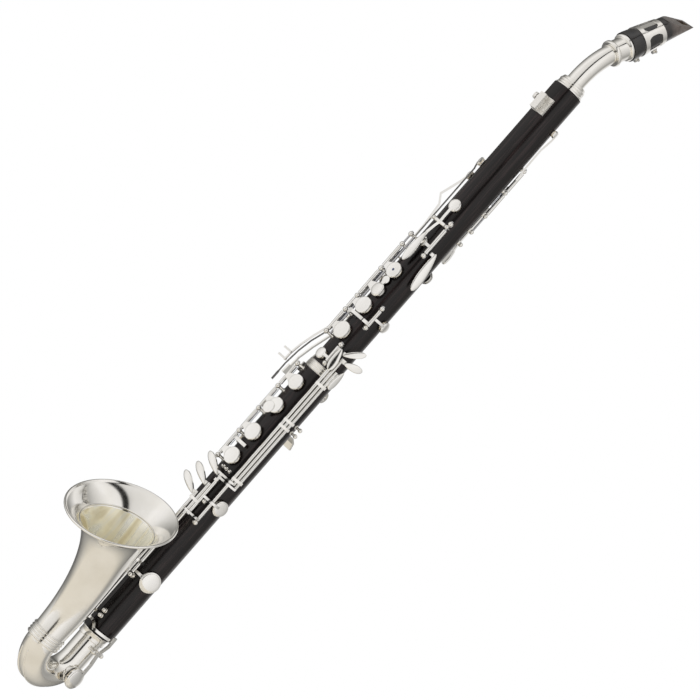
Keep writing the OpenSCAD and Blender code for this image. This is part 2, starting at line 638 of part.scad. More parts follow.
module register_vent_key() {
    line = register_hinge;
    color([0.93, 0.93, 0.92]) difference() {
        union() {
            rod(line, tube_r, 87.6, 109.7);
            padded_cup(40, 111, 4, seat_u);
            radial_plane(114, 2.4) polygon(strip_outline([[20.1, -37], [20.1, -46], [18.2, -60],
                [18.4, -84], [19.4, -94], [19.4, -97]], 1.5));
            arm(95, 3, 1.6, round_path(19.3, 127, 19.3, 113));
            // Tail under the touch key's tongue
            arm(106.5, 3, 1.2, round_path(19, 129, 18, 144));
            radial_plane(143, 2.2) polygon(strip_outline([[18, -105.5], [18, -117.4]], 1.2));
        }
        key_bore(line, 87.6, 109.7);
    }
}
module register_touch_key() {
    line = register_hinge;
    color([0.93, 0.93, 0.92]) difference() {
        union() {
            rod(line, tube_r, 114.9, 138.9);
            arm(134, 3, 1.6, round_path(19.6, 129, 20.2, 160));
            radial_plane(160, 3) polygon(strip_outline([[20.2, -132.5], [19.8, -150], [19.8, -176],
                [21.4, -188]], 1.6));
            leaf(184, 160, 20.7, 18, 9, 0, 0, 1.7);
            // Tongue that presses the vent key's tail
            arm(116.4, 2, 1.4, round_path(19.6, 129, 19.6, 144));
        }
        key_bore(line, 114.9, 138.9);
    }
}

module thumb_key() {
    line = thumb_hinge;
    color([0.93, 0.93, 0.92]) about(line, open_deg) difference() {
        union() {
            rod(line, tube_r, 211, 233);
            padded_cup(222, 168, 7, seat_u);
            arm(222, 4.5, 1.7, round_path(21.2, 206, 19.4, 176));
        }
        key_bore(line, 211, 233);
    }
}

// Transverse see-saw: the touch in front is pressed, the pad above the hinge lifts
module throat_a_key() {
    a = throat_a_axis[0];
    z = throat_a_axis[2];
    d = throat_a_axis[1];
    color([0.93, 0.93, 0.92]) difference() {
        union() {
            face(d, a) translate([-6.2, 0, z]) rotate([0, 90, 0]) cylinder(r = 2, h = 12.4);
            padded_cup(154, a - 1, 6.4, seat_u);
            radial_plane(a - 1, 3) polygon(strip_outline([[20.2, -152], [20.2, -160], [20.3, -168],
                [19.8, -175], [22.6, -181], [25.5, -190], [25.5, -194]], 1.7));
            leaf(190.5, a - 2, 24.7, 35, 10.4, 0, 0, 1.7);
        }
        face(d, a) translate([-8, 0, z]) rotate([0, 90, 0]) cylinder(r = key_bore, h = 16);
    }
}

module throat_g_sharp_key() {
    line = throat_g_hinge;
    color([0.93, 0.93, 0.92]) difference() {
        union() {
            rod(line, tube_r, 178.2, 206.6);
            padded_cup(199.4, 2, 5.4, seat_u);
            arm(199.4, 3, 1.4, round_path(20.3, 33, 19.6, 3));
            arm(203.6, 3.4, 1.8, round_path(20.8, 37, 21.6, 54));
            leaf(200.5, 57, 20.6, 42, 11.5, 0, 7, 1.8);
        }
        key_bore(line, 178.2, 206.6);
    }
}

// Long side levers on the player's right, each rocking on a short transverse pivot.
// above and below are the lever's path over and under the pivot, as [radius, -d]
module side_lever(i, above, below, pad_r = 4.6) {
    a = side_angles[i];
    d = side_pivots[i];
    pad_d = side_pads[i];
    color([0.92, 0.92, 0.9]) difference() {
        union() {
            padded_cup(pad_d, a, pad_r, seat_u);
            radial_plane(a, 2.4) polygon(strip_outline(concat([[20.2, -pad_d + 2.5],
                [20.2, -pad_d - 3]], above, [[20.5, -d + 3], [20.5, -d - 4]], below), 1.6));
            face(d, a) translate([-1.2, 0, 20.5]) rotate([0, 90, 0]) cylinder(r = 1.9, h = 2.4);
            children();
        }
        face(d, a) translate([-4, 0, 20.5]) rotate([0, 90, 0]) cylinder(r = 0.7 + run_fit, h = 8);
    }
}
// Flat finger end of a side lever along the last part of its path
module side_touch(i, path) { radial_plane(side_angles[i], 7) polygon(strip_outline(path, 2.2)); }
module side_key_1() {
    side_lever(0, [[18.8, -114], [18.8, -215]],
        [[20.5, -315], [23.5, -326], [28, -340], [31, -355], [32.6, -372], [32.6, -392]])
        side_touch(0, [[32.6, -382], [32.6, -392]]);
}
module side_key_2() {
    side_lever(1, [[21.5, -130], [29, -152], [23, -161], [20.6, -186]],
        [[20.5, -302], [24, -314], [31, -334], [35.5, -350], [37.6, -362], [37.8, -371]])
        for (d = [361, 369.6]) radial_plane(side_angles[1], 5)
            polygon(strip_outline([[37, -d], [46, -d]], 2));
}
module side_key_3() {
    side_lever(2, [[18.8, -259], [18.8, -291]],
        [[20.5, -318], [24, -328], [30, -344], [34.5, -360], [36, -381]])
        side_touch(2, [[35.2, -371], [36, -381]]);
}
module side_key_4() {
    side_lever(3, [[18.8, -284], [18.8, -309]],
        [[21, -326], [28, -340], [33, -356], [34.5, -370]])
        side_touch(3, [[33.8, -360], [34.5, -370]]);
}

module cross_key() {
    line = cross_hinge;
    color([0.93, 0.93, 0.92]) difference() {
        union() {
            rod(line, tube_r, 276, 294.4);
            padded_cup(285, 98, 6, seat_u);
            arm(285, 2.6, 1.7, round_path(20.3, 48, 20.2, 99, 12));
            // Touch across the front between two finger plates
            arm(292.8, 3.2, 1.7, concat([polar(20.4, 44), polar(22.4, 36)],
                round_path(23.6, 28, 24.4, -14, 8)));
            face(293.6, -14) translate([0, 0, 23.55]) cylinder(r = 2.6, h = 1.7);
        }
        key_bore(line, 276, 294.4);
    }
}

module c_sharp_key() {
    line = c_sharp_hinge;
    color([0.93, 0.93, 0.92]) difference() {
        union() {
            rod(line, tube_r, 327.2, 344.6);
            padded_cup(342.5, -8, 5.8, seat_u);
            arm(341.5, 2.8, 1.6, round_path(20.5, 23, 20.1, -8));
            arm(328.8, 3.2, 1.8, round_path(20.6, 27, 21.6, 52));
            leaf(331, 46, 21.1, 23, 8.4, 0, 130, 1.8);
        }
        key_bore(line, 327.2, 344.6);
    }
}

// Sliver key: its touch lies between two plates, its pad on the far side of the hinge
module sliver_key() {
    line = stack_l;
    color([0.93, 0.93, 0.92]) difference() {
        union() {
            rod(line, tube_r, sliver_tube[0], sliver_tube[1]);
            arm(456, 3.4, 1.6, concat([polar(24.5, -37), polar(24, -27)], round_path(23, -20, 21.6, 12, 6)));
            padded_cup(456, -85, 4.6, seat_l);
            arm(456.6, 2.8, 1.7, round_path(24.3, -39, 21.1, -85, 8));
        }
        key_bore(line, sliver_tube[0], sliver_tube[1]);
    }
}

// Long shafts in saddles, with a touch at the top and an arm at the bottom
module lever_touch(i) {
    if (i == 0) {
        arm(341, 4, 1.7, round_path(21.8, 44, 24.3, 40, 2));
        leaf(326.5, 35, 24, 24, 10.5, 0, 8, 1.8);
    } else if (i == 1) {
        arm(335, 4, 1.8, round_path(21.6, 55, 24.8, 62, 3));
        leaf(336, 60, 24.1, 20, 9.5, -4, 105, 1.8);
    } else {
        arm(350, 4, 1.7, round_path(21.6, 66, 23, 72, 2));
        leaf(342.5, 78, 22.4, 22, 9.4, 0, -4, 1.8);
    }
}
lever_ends = [[335.5, 538.6], [333, 491.4], [347, 495]];
module pinky_lever(i) {
    q = lever_lines[i];
    color([0.92, 0.92, 0.9]) union() {
        rod(q, shaft_r, lever_ends[i][0], lever_ends[i][1]);
        lever_touch(i);
        arm(lever_ends[i][1] - 1.1, 2.2, 1.7, concat([polar(q[0], q[1]), polar(23.6, q[1] - 1),
            polar(26, q[1] - 6)], round_path(26.2, q[1] - 11, 26.2, [6, 9, 17][i], 8)));
    }
}
module lh_pinky_lever_1() { pinky_lever(0); }
module lh_pinky_lever_2() { pinky_lever(1); }
module lh_pinky_lever_3() { pinky_lever(2); }

// Right little finger keys: a slanted touch, a long shaft and a pad or arm at its foot
module pinky_touch(q, d, a) {
    arm(d, 4.4, 1.8, concat([polar(q[0], q[1])], round_path(23.4, q[1] - 4, 24.6, a, 3)));
    face(d, 0) translate([24.6 * sin(a) + 3, -1.5, 24.4 * cos(a)]) rotate([0, 0, 156])
        linear_extrude(1.8) polygon(leaf_outline(27, 9.6));
}
module rh_pinky_key_1() {
    q = pinky_lines[0];
    color([0.93, 0.93, 0.92]) {
        rod(q, shaft_r, 489.5, 540);
        pinky_touch(q, 492, 3);
        padded_cup(517, 74, 8.2, seat_l);
        arm(517, 2.6, 1.7, concat([polar(22.2, 15), polar(24.2, 19), polar(25.2, 25)],
            round_path(25.4, 32, 25.4, 50, 4), [polar(24, 58), polar(21.4, 68), polar(21.2, 76)]));
    }
}
module rh_pinky_key_2() {
    q = pinky_lines[1];
    color([0.93, 0.93, 0.92]) {
        rod(q, shaft_r, 504.4, 615.6);
        pinky_touch(q, 507, -4);
        padded_cup(613, 60, 10.6, seat_l);
        arm(613, 2.8, 1.8, round_path(22.2, 7, 21.3, 62, 10));
    }
}
module rh_pinky_key_3() {
    q = pinky_lines[2];
    color([0.93, 0.93, 0.92]) {
        rod(q, shaft_r, 518, 676);
        pinky_touch(q, 521, -15);
        arm(674.4, 2.8, 1.8, round_path(22.2, -6, 22.2, 12, 4));
        face(678, 12) translate([0, 0, 21.3]) rotate([0, 0, 0]) linear_extrude(1.8)
            polygon(strip_outline([[0, 3.6], [3.4, 1.4], [6, -1.6]], 2.8));
        arm(680, 2.8, 1.8, round_path(22.3, 24, 20.2, 86, 12));
    }
}

// Lowest key, on the bow: it rocks across the body axis and stands open at rest
low_open = 5;
module low_key() {
    pivot = [low_pivot[0], 0, -low_pivot[1]];
    color([0.93, 0.93, 0.92]) translate(pivot) rotate([0, -low_open, 0]) translate(-pivot) difference() {
        union() {
            translate([low_pivot[0], 4.4, -low_pivot[1]]) rotate([90, 0, 0]) cylinder(r = 2, h = 8.8);
            translate([0, 2, 0]) rotate([90, 0, 0]) linear_extrude(4) polygon(strip_outline([
                [24.6, -675], [23.8, -686], [19.2, -698], [20, -710], [19.2, -722], [19.0, -733]], 1.7));
            translate([14.5 + seat_gap, -3.3, -729]) rotate([0, 90, 0]) {
                cylinder(r = 10.2, h = pad_h + 0.2);
                translate([0, 0, pad_h]) cylinder(r = 10.8, h = cup_h - 0.6);
                translate([0, 0, pad_h + cup_h - 0.6]) cylinder(r1 = 10.8, r2 = 9.6, h = 0.8);
            }
        }
        translate([low_pivot[0], 6, -low_pivot[1]]) rotate([90, 0, 0]) cylinder(r = key_bore, h = 12);
    }
}

in_frame() upper_joint();
in_frame() lower_joint();
in_frame() middle_rings();
in_frame() tenon_corks();
in_frame() bow();
in_frame() bell_ring();
in_frame() bell();
in_frame() neck_socket_ring();
in_frame() lyre_socket();
in_frame() lyre_screw();
in_frame() plate_screws();
in_frame() strap_ring();
in_frame() thumb_rest();
in_frame() neck_tube();
in_frame() neck_receiver();
in_frame() neck_cork();
in_frame() mouthpiece();
in_frame() reed();
in_frame() ligature();
in_frame() ligature_screw_lower();
in_frame() ligature_screw_upper();
in_frame() posts_upper();
in_frame() posts_lower();
in_frame() hinge_rods_upper();
in_frame() hinge_rods_lower();
in_frame() needle_springs();
in_frame() register_vent_key();
in_frame() register_touch_key();
in_frame() thumb_key();
in_frame() throat_a_key();
in_frame() throat_g_sharp_key();
in_frame() side_key_1();
in_frame() side_key_2();
in_frame() side_key_3();
in_frame() side_key_4();
in_frame() lh_index_key();
in_frame() lh_index_pad();
in_frame() linked_key();
in_frame() lh_middle_key();
in_frame() lh_middle_pad();
in_frame() lh_ring_key();
in_frame() lh_ring_pad();
in_frame() cross_key();
in_frame() c_sharp_key();
in_frame() rh_index_key();
in_frame() rh_index_pad();
in_frame() rh_middle_key();
in_frame() rh_middle_pad();
in_frame() rh_ring_key();
in_frame() rh_ring_pad();
in_frame() rh_lower_key();
in_frame() rh_lower_pad();
in_frame() sliver_key();
in_frame() lh_pinky_lever_1();
in_frame() lh_pinky_lever_2();
in_frame() lh_pinky_lever_3();
in_frame() rh_pinky_key_1();
in_frame() rh_pinky_key_2();
in_frame() rh_pinky_key_3();
in_frame() low_key();
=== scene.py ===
"""Looks of an alto clarinet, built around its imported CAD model.

Lengths are millimetres in the body's own coordinates until place() turns them into the frame's metres:
Z runs up the body from the top of the wood, so a distance d below that top is z = -d, the front is -Y,
and an angle round the body is counted from the front towards +X.
"""

import json
import math

import bmesh
import bpy
from mathutils import Matrix, Vector


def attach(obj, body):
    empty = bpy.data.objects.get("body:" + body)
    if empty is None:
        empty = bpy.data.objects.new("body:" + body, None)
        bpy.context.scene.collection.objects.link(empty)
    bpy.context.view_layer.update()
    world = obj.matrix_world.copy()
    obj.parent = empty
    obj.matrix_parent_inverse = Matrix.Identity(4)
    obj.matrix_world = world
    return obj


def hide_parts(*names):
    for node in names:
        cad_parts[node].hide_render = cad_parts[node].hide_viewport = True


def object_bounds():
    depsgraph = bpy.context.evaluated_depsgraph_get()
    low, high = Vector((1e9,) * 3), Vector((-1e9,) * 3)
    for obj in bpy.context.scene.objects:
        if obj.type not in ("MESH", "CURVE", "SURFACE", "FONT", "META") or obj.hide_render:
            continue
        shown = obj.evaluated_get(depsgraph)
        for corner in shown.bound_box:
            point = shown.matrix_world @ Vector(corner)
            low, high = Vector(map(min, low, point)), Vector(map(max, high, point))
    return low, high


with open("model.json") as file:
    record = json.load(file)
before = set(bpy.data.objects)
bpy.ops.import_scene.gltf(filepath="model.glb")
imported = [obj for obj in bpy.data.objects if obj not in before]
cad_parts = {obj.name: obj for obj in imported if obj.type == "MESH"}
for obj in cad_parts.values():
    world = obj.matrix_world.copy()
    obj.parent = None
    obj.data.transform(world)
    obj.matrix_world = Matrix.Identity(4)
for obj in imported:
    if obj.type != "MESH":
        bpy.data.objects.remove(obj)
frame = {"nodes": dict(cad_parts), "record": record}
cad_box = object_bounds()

MM = 0.001
EYE_Y, EYE_D = 25.5, 374.0

# The design's own dimensions
UPPER_R, LOWER_R = 16.0, 17.2
SEAT_U, SEAT_L = UPPER_R + 0.4, LOWER_R + 0.4
SEAT_GAP, PAD_H, CUP_H = 0.2, 1.6, 2.2
# Height of a cup's underside over its seat when the key is shut
OVER_SEAT = SEAT_GAP + PAD_H
OPEN_DEG = 6
STACK_U, STACK_L, STACK_A = (24, -38), (24.5, -37), 2
# The thumb key: radius and angle of its hinge, and distance and angle of its cup
THUMB_HINGE, THUMB_CUP = (21.4, 208), (222, 168)
BOW_BEND_R, BOW_D, BOW_R1, BOW_R2 = 27.3, 716, 13.5, 15.4
LOW_SEAT = (9.6, -3.3, -729)
LOW_PIVOT_X, LOW_PIVOT_D, LOW_OPEN_DEG = 18.5, 698, 5
# The guards' wires: where they start on the bend, how far they go, and their angle off its outermost line
GUARD_FROM, GUARD_TURN, GUARD_AWAY = 24, 136, 17
BODY_LEN = 683
BELL_R1, BELL_R2, BELL_RISE, BELL_BEND_R, BELL_TILT, FLARE = 16.1, 53.5, 17, 210, 34, 0.5
BELL_LEG = 6.5
WALL = 1.2
NECK_R, NECK_WALL, NECK_RISE, NECK_BEND_R, NECK_BEND, NECK_TENON = 9.6, 1.1, 13, 78.5, 34, 16
RECEIVER_LEN = 17
# Heights along the mouthpiece, from the receiver's end
BEAK_START, LIGATURE_SCREWS = 52, (13, 36)


# ---------------------------------------------------------------- places

def place(p):
    """A point of the body's coordinates in the frame, in metres."""
    return Vector((p[0], p[1] - EYE_Y, p[2] + EYE_D)) * MM


def polar(r, a):
    """Point (x, y) at radius r and a degrees round the body."""
    t = math.radians(a)
    return (r * math.sin(t), -r * math.cos(t))


def face(d, a, x=0, y=0, z=0):
    """Local frame on the body: X along the circumference, Y up the body, Z outwards."""
    turn = Matrix.Rotation(math.radians(a), 4, "Z") @ Matrix.Rotation(math.radians(90), 4, "X")
    return Matrix.Translation((0, 0, -d)) @ turn @ Matrix.Translation((x, y, z))


def about(line, deg):
    """Turn about a hinge line (radius, angle) that runs along the body."""
    p = polar(*line)
    return (Matrix.Translation((p[0], p[1], 0)) @ Matrix.Rotation(math.radians(deg), 4, "Z")
            @ Matrix.Translation((-p[0], -p[1], 0)))


def at_mouthpiece():
    """Local frame on the receiver's end: Z along the mouthpiece, +Y towards the reed."""
    t = math.radians(NECK_BEND)
    start = (0, NECK_BEND_R * (1 - math.cos(t)), NECK_RISE + NECK_BEND_R * math.sin(t))
    return (Matrix.Translation(start) @ Matrix.Rotation(-t, 4, "X")
            @ Matrix.Translation((0, 0, RECEIVER_LEN)))


# ---------------------------------------------------------------- meshes

def piece(name, points, faces, mat, body, slot, matrix=Matrix(), stands_for=(), smooth=True):
    """A mesh from points in millimetres, riding on a CAD body."""
    mesh = bpy.data.meshes.new(name)
    mesh.from_pydata([place(matrix @ Vector(p)) for p in points], [], faces)
    tidy = bmesh.new()
    tidy.from_mesh(mesh)
    bmesh.ops.remove_doubles(tidy, verts=tidy.verts, dist=1e-7)
    bmesh.ops.recalc_face_normals(tidy, faces=tidy.faces)
    tidy.to_mesh(mesh)
    tidy.free()
    for polygon in mesh.polygons:
        polygon.use_smooth = smooth
    mesh.materials.append(mat)
    obj = bpy.data.objects.new(name, mesh)
    bpy.context.scene.collection.objects.link(obj)
    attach(obj, body)
    if stands_for:
        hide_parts(*stands_for)
    return obj


def grid_faces(rows, columns, closed_rows):
    """Faces of a grid of points whose columns go all the way round."""
    faces = []
    for i in range(rows if closed_rows else rows - 1):
        j = (i + 1) % rows
        for k in range(columns):
            e = (k + 1) % columns
            faces.append((i * columns + k, i * columns + e, j * columns + e, j * columns + k))
    return faces


def lathe_points(profile, sides):
    """Points of a turned shape, one ring of them for each (radius, height)."""
    return [(r * math.cos(2 * math.pi * k / sides), r * math.sin(2 * math.pi * k / sides), z)
            for r, z in profile for k in range(sides)]


def lathe(name, profile, mat, body, slot, matrix, sides=48, closed=False, **more):
    """A turned piece; profile is [(radius, height)], and a radius of 0 closes an end."""
    points = lathe_points(profile, sides)
    return piece(name, points, grid_faces(len(profile), sides, closed), mat, body, slot, matrix, **more)


def swept_points(rings, sides):
    """Points of rings (y, z, tilt in degrees from up, radius) along a path in the YZ plane."""
    points = []
    for y, z, tilt, r in rings:
        t = math.radians(tilt)
        for k in range(sides):
            a = 2 * math.pi * k / sides
            across = r * math.sin(a)
            points.append((r * math.cos(a), y + across * math.cos(t), z + across * math.sin(t)))
    return points


def swept_shell(name, rings, wall, sides, mat, body, slot, rim=(), **more):
    """A tube wall along a path: the outside, an optional rim, and back along the inside."""
    inside = [(y, z, tilt, r - wall) for y, z, tilt, r in reversed(rings)]
    loop = list(rings) + list(rim) + inside
    return piece(name, swept_points(loop, sides), grid_faces(len(loop), sides, True), mat, body, slot, **more)


def leaf_outline(length, width, count):
    """Teardrop outline with its narrow end at the start."""
    points = []
    for i in range(count):
        t = 2 * math.pi * i / count
        x = (1 - math.cos(t)) / 2
        points.append((x * length, math.sin(t) * width / 2 * (0.55 + 0.45 * x)))
    return points


def pillow(name, length, width, body, matrix, top, crown):
    """Crowned finger surface on a teardrop touch, whose own top is at height top."""
    count = 44
    outline = leaf_outline(length, width, count)
    middle = (length * 0.56, 0)
    steps = ((0.985, -0.5), (0.99, 0.05), (0.965, 0.28), (0.9, 0.5), (0.78, 0.7),
             (0.6, 0.86), (0.4, 0.95), (0.2, 0.99), (0.0, 1.0))
    points = []
    for share, height in steps:
        for x, y in outline:
            points.append((middle[0] + (x - middle[0]) * share, y * share, top + height * crown))
    piece(name, points, grid_faces(len(steps), count, False), KEYS, body, "key_plate", matrix)


# ---------------------------------------------------------------- materials

def new_material(name):
    mat = bpy.data.materials.new(name)
    mat.use_nodes = True
    tree = mat.node_tree
    return mat, tree, tree.nodes["Principled BSDF"]


def coordinates(tree, scale=(1, 1, 1)):
    """The piece's own coordinates, stretched along an axis where the scale is small."""
    where = tree.nodes.new("ShaderNodeTexCoord")
    mapping = tree.nodes.new("ShaderNodeMapping")
    mapping.inputs["Scale"].default_value = scale
    tree.links.new(where.outputs["Object"], mapping.inputs["Vector"])
    return mapping.outputs["Vector"]


def noise(tree, vector, scale, detail=4, roughness=0.55):
    node = tree.nodes.new("ShaderNodeTexNoise")
    node.inputs["Scale"].default_value = scale
    node.inputs["Detail"].default_value = detail
    node.inputs["Roughness"].default_value = roughness
    tree.links.new(vector, node.inputs["Vector"])
    return node.outputs["Fac"]


def ramp(tree, value, stops):
    """Colour for a value from 0 to 1; stops is [(position, colour)]."""
    node = tree.nodes.new("ShaderNodeValToRGB")
    elements = node.color_ramp.elements
    while len(elements) < len(stops):
        elements.new(0.5)
    for element, (position, colour) in zip(elements, stops):
        element.position = position
        element.color = (*colour, 1)
    tree.links.new(value, node.inputs["Fac"])
    return node.outputs["Color"]


def spread(tree, value, low, high):
    """value from 0 to 1 as a number from low to high."""
    node = tree.nodes.new("ShaderNodeMapRange")
    node.inputs["To Min"].default_value = low
    node.inputs["To Max"].default_value = high
    tree.links.new(value, node.inputs["Value"])
    return node.outputs["Result"]


def bump(tree, shader, height, strength, distance):
    node = tree.nodes.new("ShaderNodeBump")
    node.inputs["Strength"].default_value = strength
    node.inputs["Distance"].default_value = distance
    tree.links.new(height, node.inputs["Height"])
    tree.links.new(node.outputs["Normal"], shader.inputs["Normal"])


def plated(name, tint, shade, rough_low, rough_high, scratch=0.06):
    """Polished plate: a little colour drift, fine wiping marks and soft unevenness."""
    mat, tree, shader = new_material(name)
    here = coordinates(tree)
    drift = noise(tree, here, 45, 5)
    tree.links.new(ramp(tree, drift, ((0.3, shade), (0.62, tint))), shader.inputs["Base Color"])
    wiped = noise(tree, coordinates(tree, (1, 1, 0.12)), 900, 6, 0.7)
    tree.links.new(spread(tree, wiped, rough_low, rough_high), shader.inputs["Roughness"])
    shader.inputs["Metallic"].default_value = 1
    bump(tree, shader, wiped, scratch, 0.00004)
    return mat


def grenadilla():
    """Nearly black wood with fine brown grain along the body."""
    mat, tree, shader = new_material("grenadilla")
    along = coordinates(tree, (1, 1, 0.045))
    grain = noise(tree, along, 420, 8, 0.62)
    colour = ramp(tree, grain, ((0.32, (0.002, 0.0015, 0.0015)), (0.5, (0.006, 0.004, 0.004)),
                                (0.64, (0.024, 0.015, 0.015)), (0.8, (0.004, 0.003, 0.003))))
    tree.links.new(colour, shader.inputs["Base Color"])
    pores = noise(tree, coordinates(tree, (1, 1, 0.02)), 1500, 3, 0.5)
    tree.links.new(spread(tree, pores, 0.16, 0.3), shader.inputs["Roughness"])
    shader.inputs["Specular IOR Level"].default_value = 0.36
    bump(tree, shader, pores, 0.16, 0.00012)
    return mat


def ebonite():
    """Polished hard rubber that is duller and browner on the beak."""
    mat, tree, shader = new_material("ebonite")
    here = coordinates(tree)
    cloud = noise(tree, here, 160, 5)
    polished = ramp(tree, cloud, ((0.35, (0.010, 0.010, 0.011)), (0.7, (0.026, 0.023, 0.021))))
    worn = ramp(tree, cloud, ((0.35, (0.10, 0.08, 0.07)), (0.7, (0.17, 0.14, 0.125))))
    along = tree.nodes.new("ShaderNodeVectorMath")
    along.operation = "DOT_PRODUCT"
    t = math.radians(NECK_BEND)
    along.inputs[1].default_value = (0, math.sin(t), math.cos(t))
    tree.links.new(here, along.inputs[0])
    beak = at_mouthpiece() @ Vector((0, 0, BEAK_START))
    start = Vector(along.inputs[1].default_value).dot(place(beak))
    share = tree.nodes.new("ShaderNodeMapRange")
    share.inputs["From Min"].default_value = start - 3 * MM
    share.inputs["From Max"].default_value = start + 6 * MM
    tree.links.new(along.outputs["Value"], share.inputs["Value"])
    mix = tree.nodes.new("ShaderNodeMix")
    mix.data_type = "RGBA"
    tree.links.new(share.outputs["Result"], mix.inputs["Factor"])
    tree.links.new(polished, mix.inputs["A"])
    tree.links.new(worn, mix.inputs["B"])
    tree.links.new(mix.outputs["Result"], shader.inputs["Base Color"])
    tree.links.new(spread(tree, noise(tree, here, 900, 4), 0.1, 0.24), shader.inputs["Roughness"])
    shader.inputs["Coat Weight"].default_value = 0.3
    shader.inputs["Coat Roughness"].default_value = 0.08
    bump(tree, shader, cloud, 0.05, 0.00008)
    return mat


def fibrous(name, dark, light, stretch, rough):
    """Long fibres in two tones."""
    mat, tree, shader = new_material(name)
    grain = noise(tree, coordinates(tree, stretch), 700, 7, 0.65)
    tree.links.new(ramp(tree, grain, ((0.3, dark), (0.7, light))), shader.inputs["Base Color"])
    shader.inputs["Roughness"].default_value = rough
    bump(tree, shader, grain, 0.25, 0.0001)
    return mat


def cork_material():
    """Dull cork with small cells."""
    mat, tree, shader = new_material("cork")
    here = coordinates(tree)
    cells = tree.nodes.new("ShaderNodeTexVoronoi")
    cells.inputs["Scale"].default_value = 1100
    tree.links.new(here, cells.inputs["Vector"])
    bark = ramp(tree, noise(tree, here, 500, 6), ((0.35, (0.33, 0.19, 0.09)), (0.6, (0.62, 0.42, 0.24))))
    tree.links.new(bark, shader.inputs["Base Color"])
    shader.inputs["Roughness"].default_value = 0.85
    bump(tree, shader, cells.outputs["Distance"], 0.4, 0.0002)
    return mat


def pad_material():
    """Thin skin over felt: cream, softly creased."""
    mat, tree, shader = new_material("pad_skin")
    here = coordinates(tree)
    creases = noise(tree, here, 620, 6, 0.6)
    tree.links.new(ramp(tree, creases, ((0.3, (0.66, 0.54, 0.36)), (0.7, (0.86, 0.79, 0.64)))),
                   shader.inputs["Base Color"])
    shader.inputs["Roughness"].default_value = 0.55
    shader.inputs["Sheen Weight"].default_value = 0.15
    bump(tree, shader, creases, 0.35, 0.00015)
    return mat


def bell_inside_material():
    """Warm satin throat of the bell, with faint upright streaks left by polishing."""
    mat, tree, shader = new_material("bell_inside")
    streaks = noise(tree, coordinates(tree, (1, 0.35, 0.08)), 130, 3, 0.4)
    tint = ramp(tree, streaks, ((0.34, (0.72, 0.64, 0.42)), (0.48, (0.96, 0.91, 0.72)),
                                (0.58, (0.86, 0.86, 0.8)), (0.68, (1.0, 0.98, 0.88))))
    tree.links.new(tint, shader.inputs["Base Color"])
    shader.inputs["Metallic"].default_value = 0.45
    tree.links.new(spread(tree, streaks, 0.34, 0.22), shader.inputs["Roughness"])
    bump(tree, shader, streaks, 0.25, 0.0004)
    return mat


SILVER = plated("silver_plate", (0.93, 0.915, 0.88), (0.87, 0.85, 0.8), 0.07, 0.16)
KEYS = plated("key_plate", (0.94, 0.93, 0.905), (0.88, 0.865, 0.825), 0.06, 0.17, 0.05)
SATIN = plated("satin_plate", (0.9, 0.885, 0.85), (0.8, 0.78, 0.73), 0.4, 0.5, 0.03)
STEEL = plated("steel", (0.62, 0.62, 0.63), (0.5, 0.5, 0.52), 0.2, 0.38, 0.12)
BLUED = plated("blued_steel", (0.16, 0.2, 0.32), (0.1, 0.11, 0.17), 0.25, 0.4, 0.1)
WOOD = grenadilla()
RUBBER = ebonite()
CANE = fibrous("cane", (0.62, 0.42, 0.17), (0.87, 0.71, 0.42), (1, 0.05, 0.05), 0.5)
CORK = cork_material()
PAD = pad_material()
BELL_INSIDE = bell_inside_material()
BY_SLOT = {"grenadilla": WOOD, "silver_plate": SILVER, "key_plate": KEYS, "steel": STEEL,
           "blued_steel": BLUED, "cork": CORK, "ebonite": RUBBER, "cane": CANE, "pad_skin": PAD}


# Width of a softened edge, the gap that counts as one point, and the angle from which an edge is softened
SOFT_EDGE, WELD_GAP, SHARP_DEG = 0.28 * MM, 0.002 * MM, 38


def dress_cad_nodes():
    """Gives every CAD node its material, and softened edges to all but the lyre socket."""
    for part in frame["record"]["subparts"]:
        node = frame["nodes"][part["node"]]
        satin = part["node"] == "lyre_socket"
        if not node.material_slots:
            node.data.materials.append(None)
        for socket in node.material_slots:
            socket.material = SATIN if satin else BY_SLOT[part["material_slot"]]
        # The flat plate of the lyre socket keeps crisp edges
        if satin:
            continue
        weld = node.modifiers.new("weld", "WELD")
        weld.merge_threshold = WELD_GAP
        soften = node.modifiers.new("soften", "BEVEL")
        soften.width = SOFT_EDGE
        soften.segments = 2
        soften.limit_method = "ANGLE"
        soften.angle_limit = math.radians(SHARP_DEG)
        normals = node.modifiers.new("normals", "WEIGHTED_NORMAL")
        normals.keep_sharp = False


# ---------------------------------------------------------------- bow, bell and neck

BELL_LEN = BELL_RISE + BELL_BEND_R * math.radians(BELL_TILT)
# Inside radius at which the polished flare turns into the throat, and the bead there
LIP_R = 36
BEAD_SIDES, BEAD_HALF_LEN, BEAD_R, BEAD_SINK = 14, 0.9, 0.75, 0.25
# The rolled rim: the roll's radius, how far it sinks in, its start and turn in degrees, and its steps
ROLL_R, ROLL_SINK, ROLL_FROM, ROLL_TURN, ROLL_STEPS = 1.25, 0.1, -130, 250, 14


def bell_at(s):
    """The bell's ring at distance s along its axis: y, z, tilt and outside radius."""
    ratio = (BELL_R2 / BELL_R1) ** (1 / FLARE)
    reach = BELL_LEN * ratio / (ratio - 1)
    t = max(0, s - BELL_RISE) / BELL_BEND_R
    return (-2 * BOW_BEND_R - BELL_BEND_R * (1 - math.cos(t)),
            BELL_LEG - BOW_D + min(s, BELL_RISE) + BELL_BEND_R * math.sin(t), math.degrees(t),
            BELL_R1 * (reach / (reach - s)) ** FLARE)


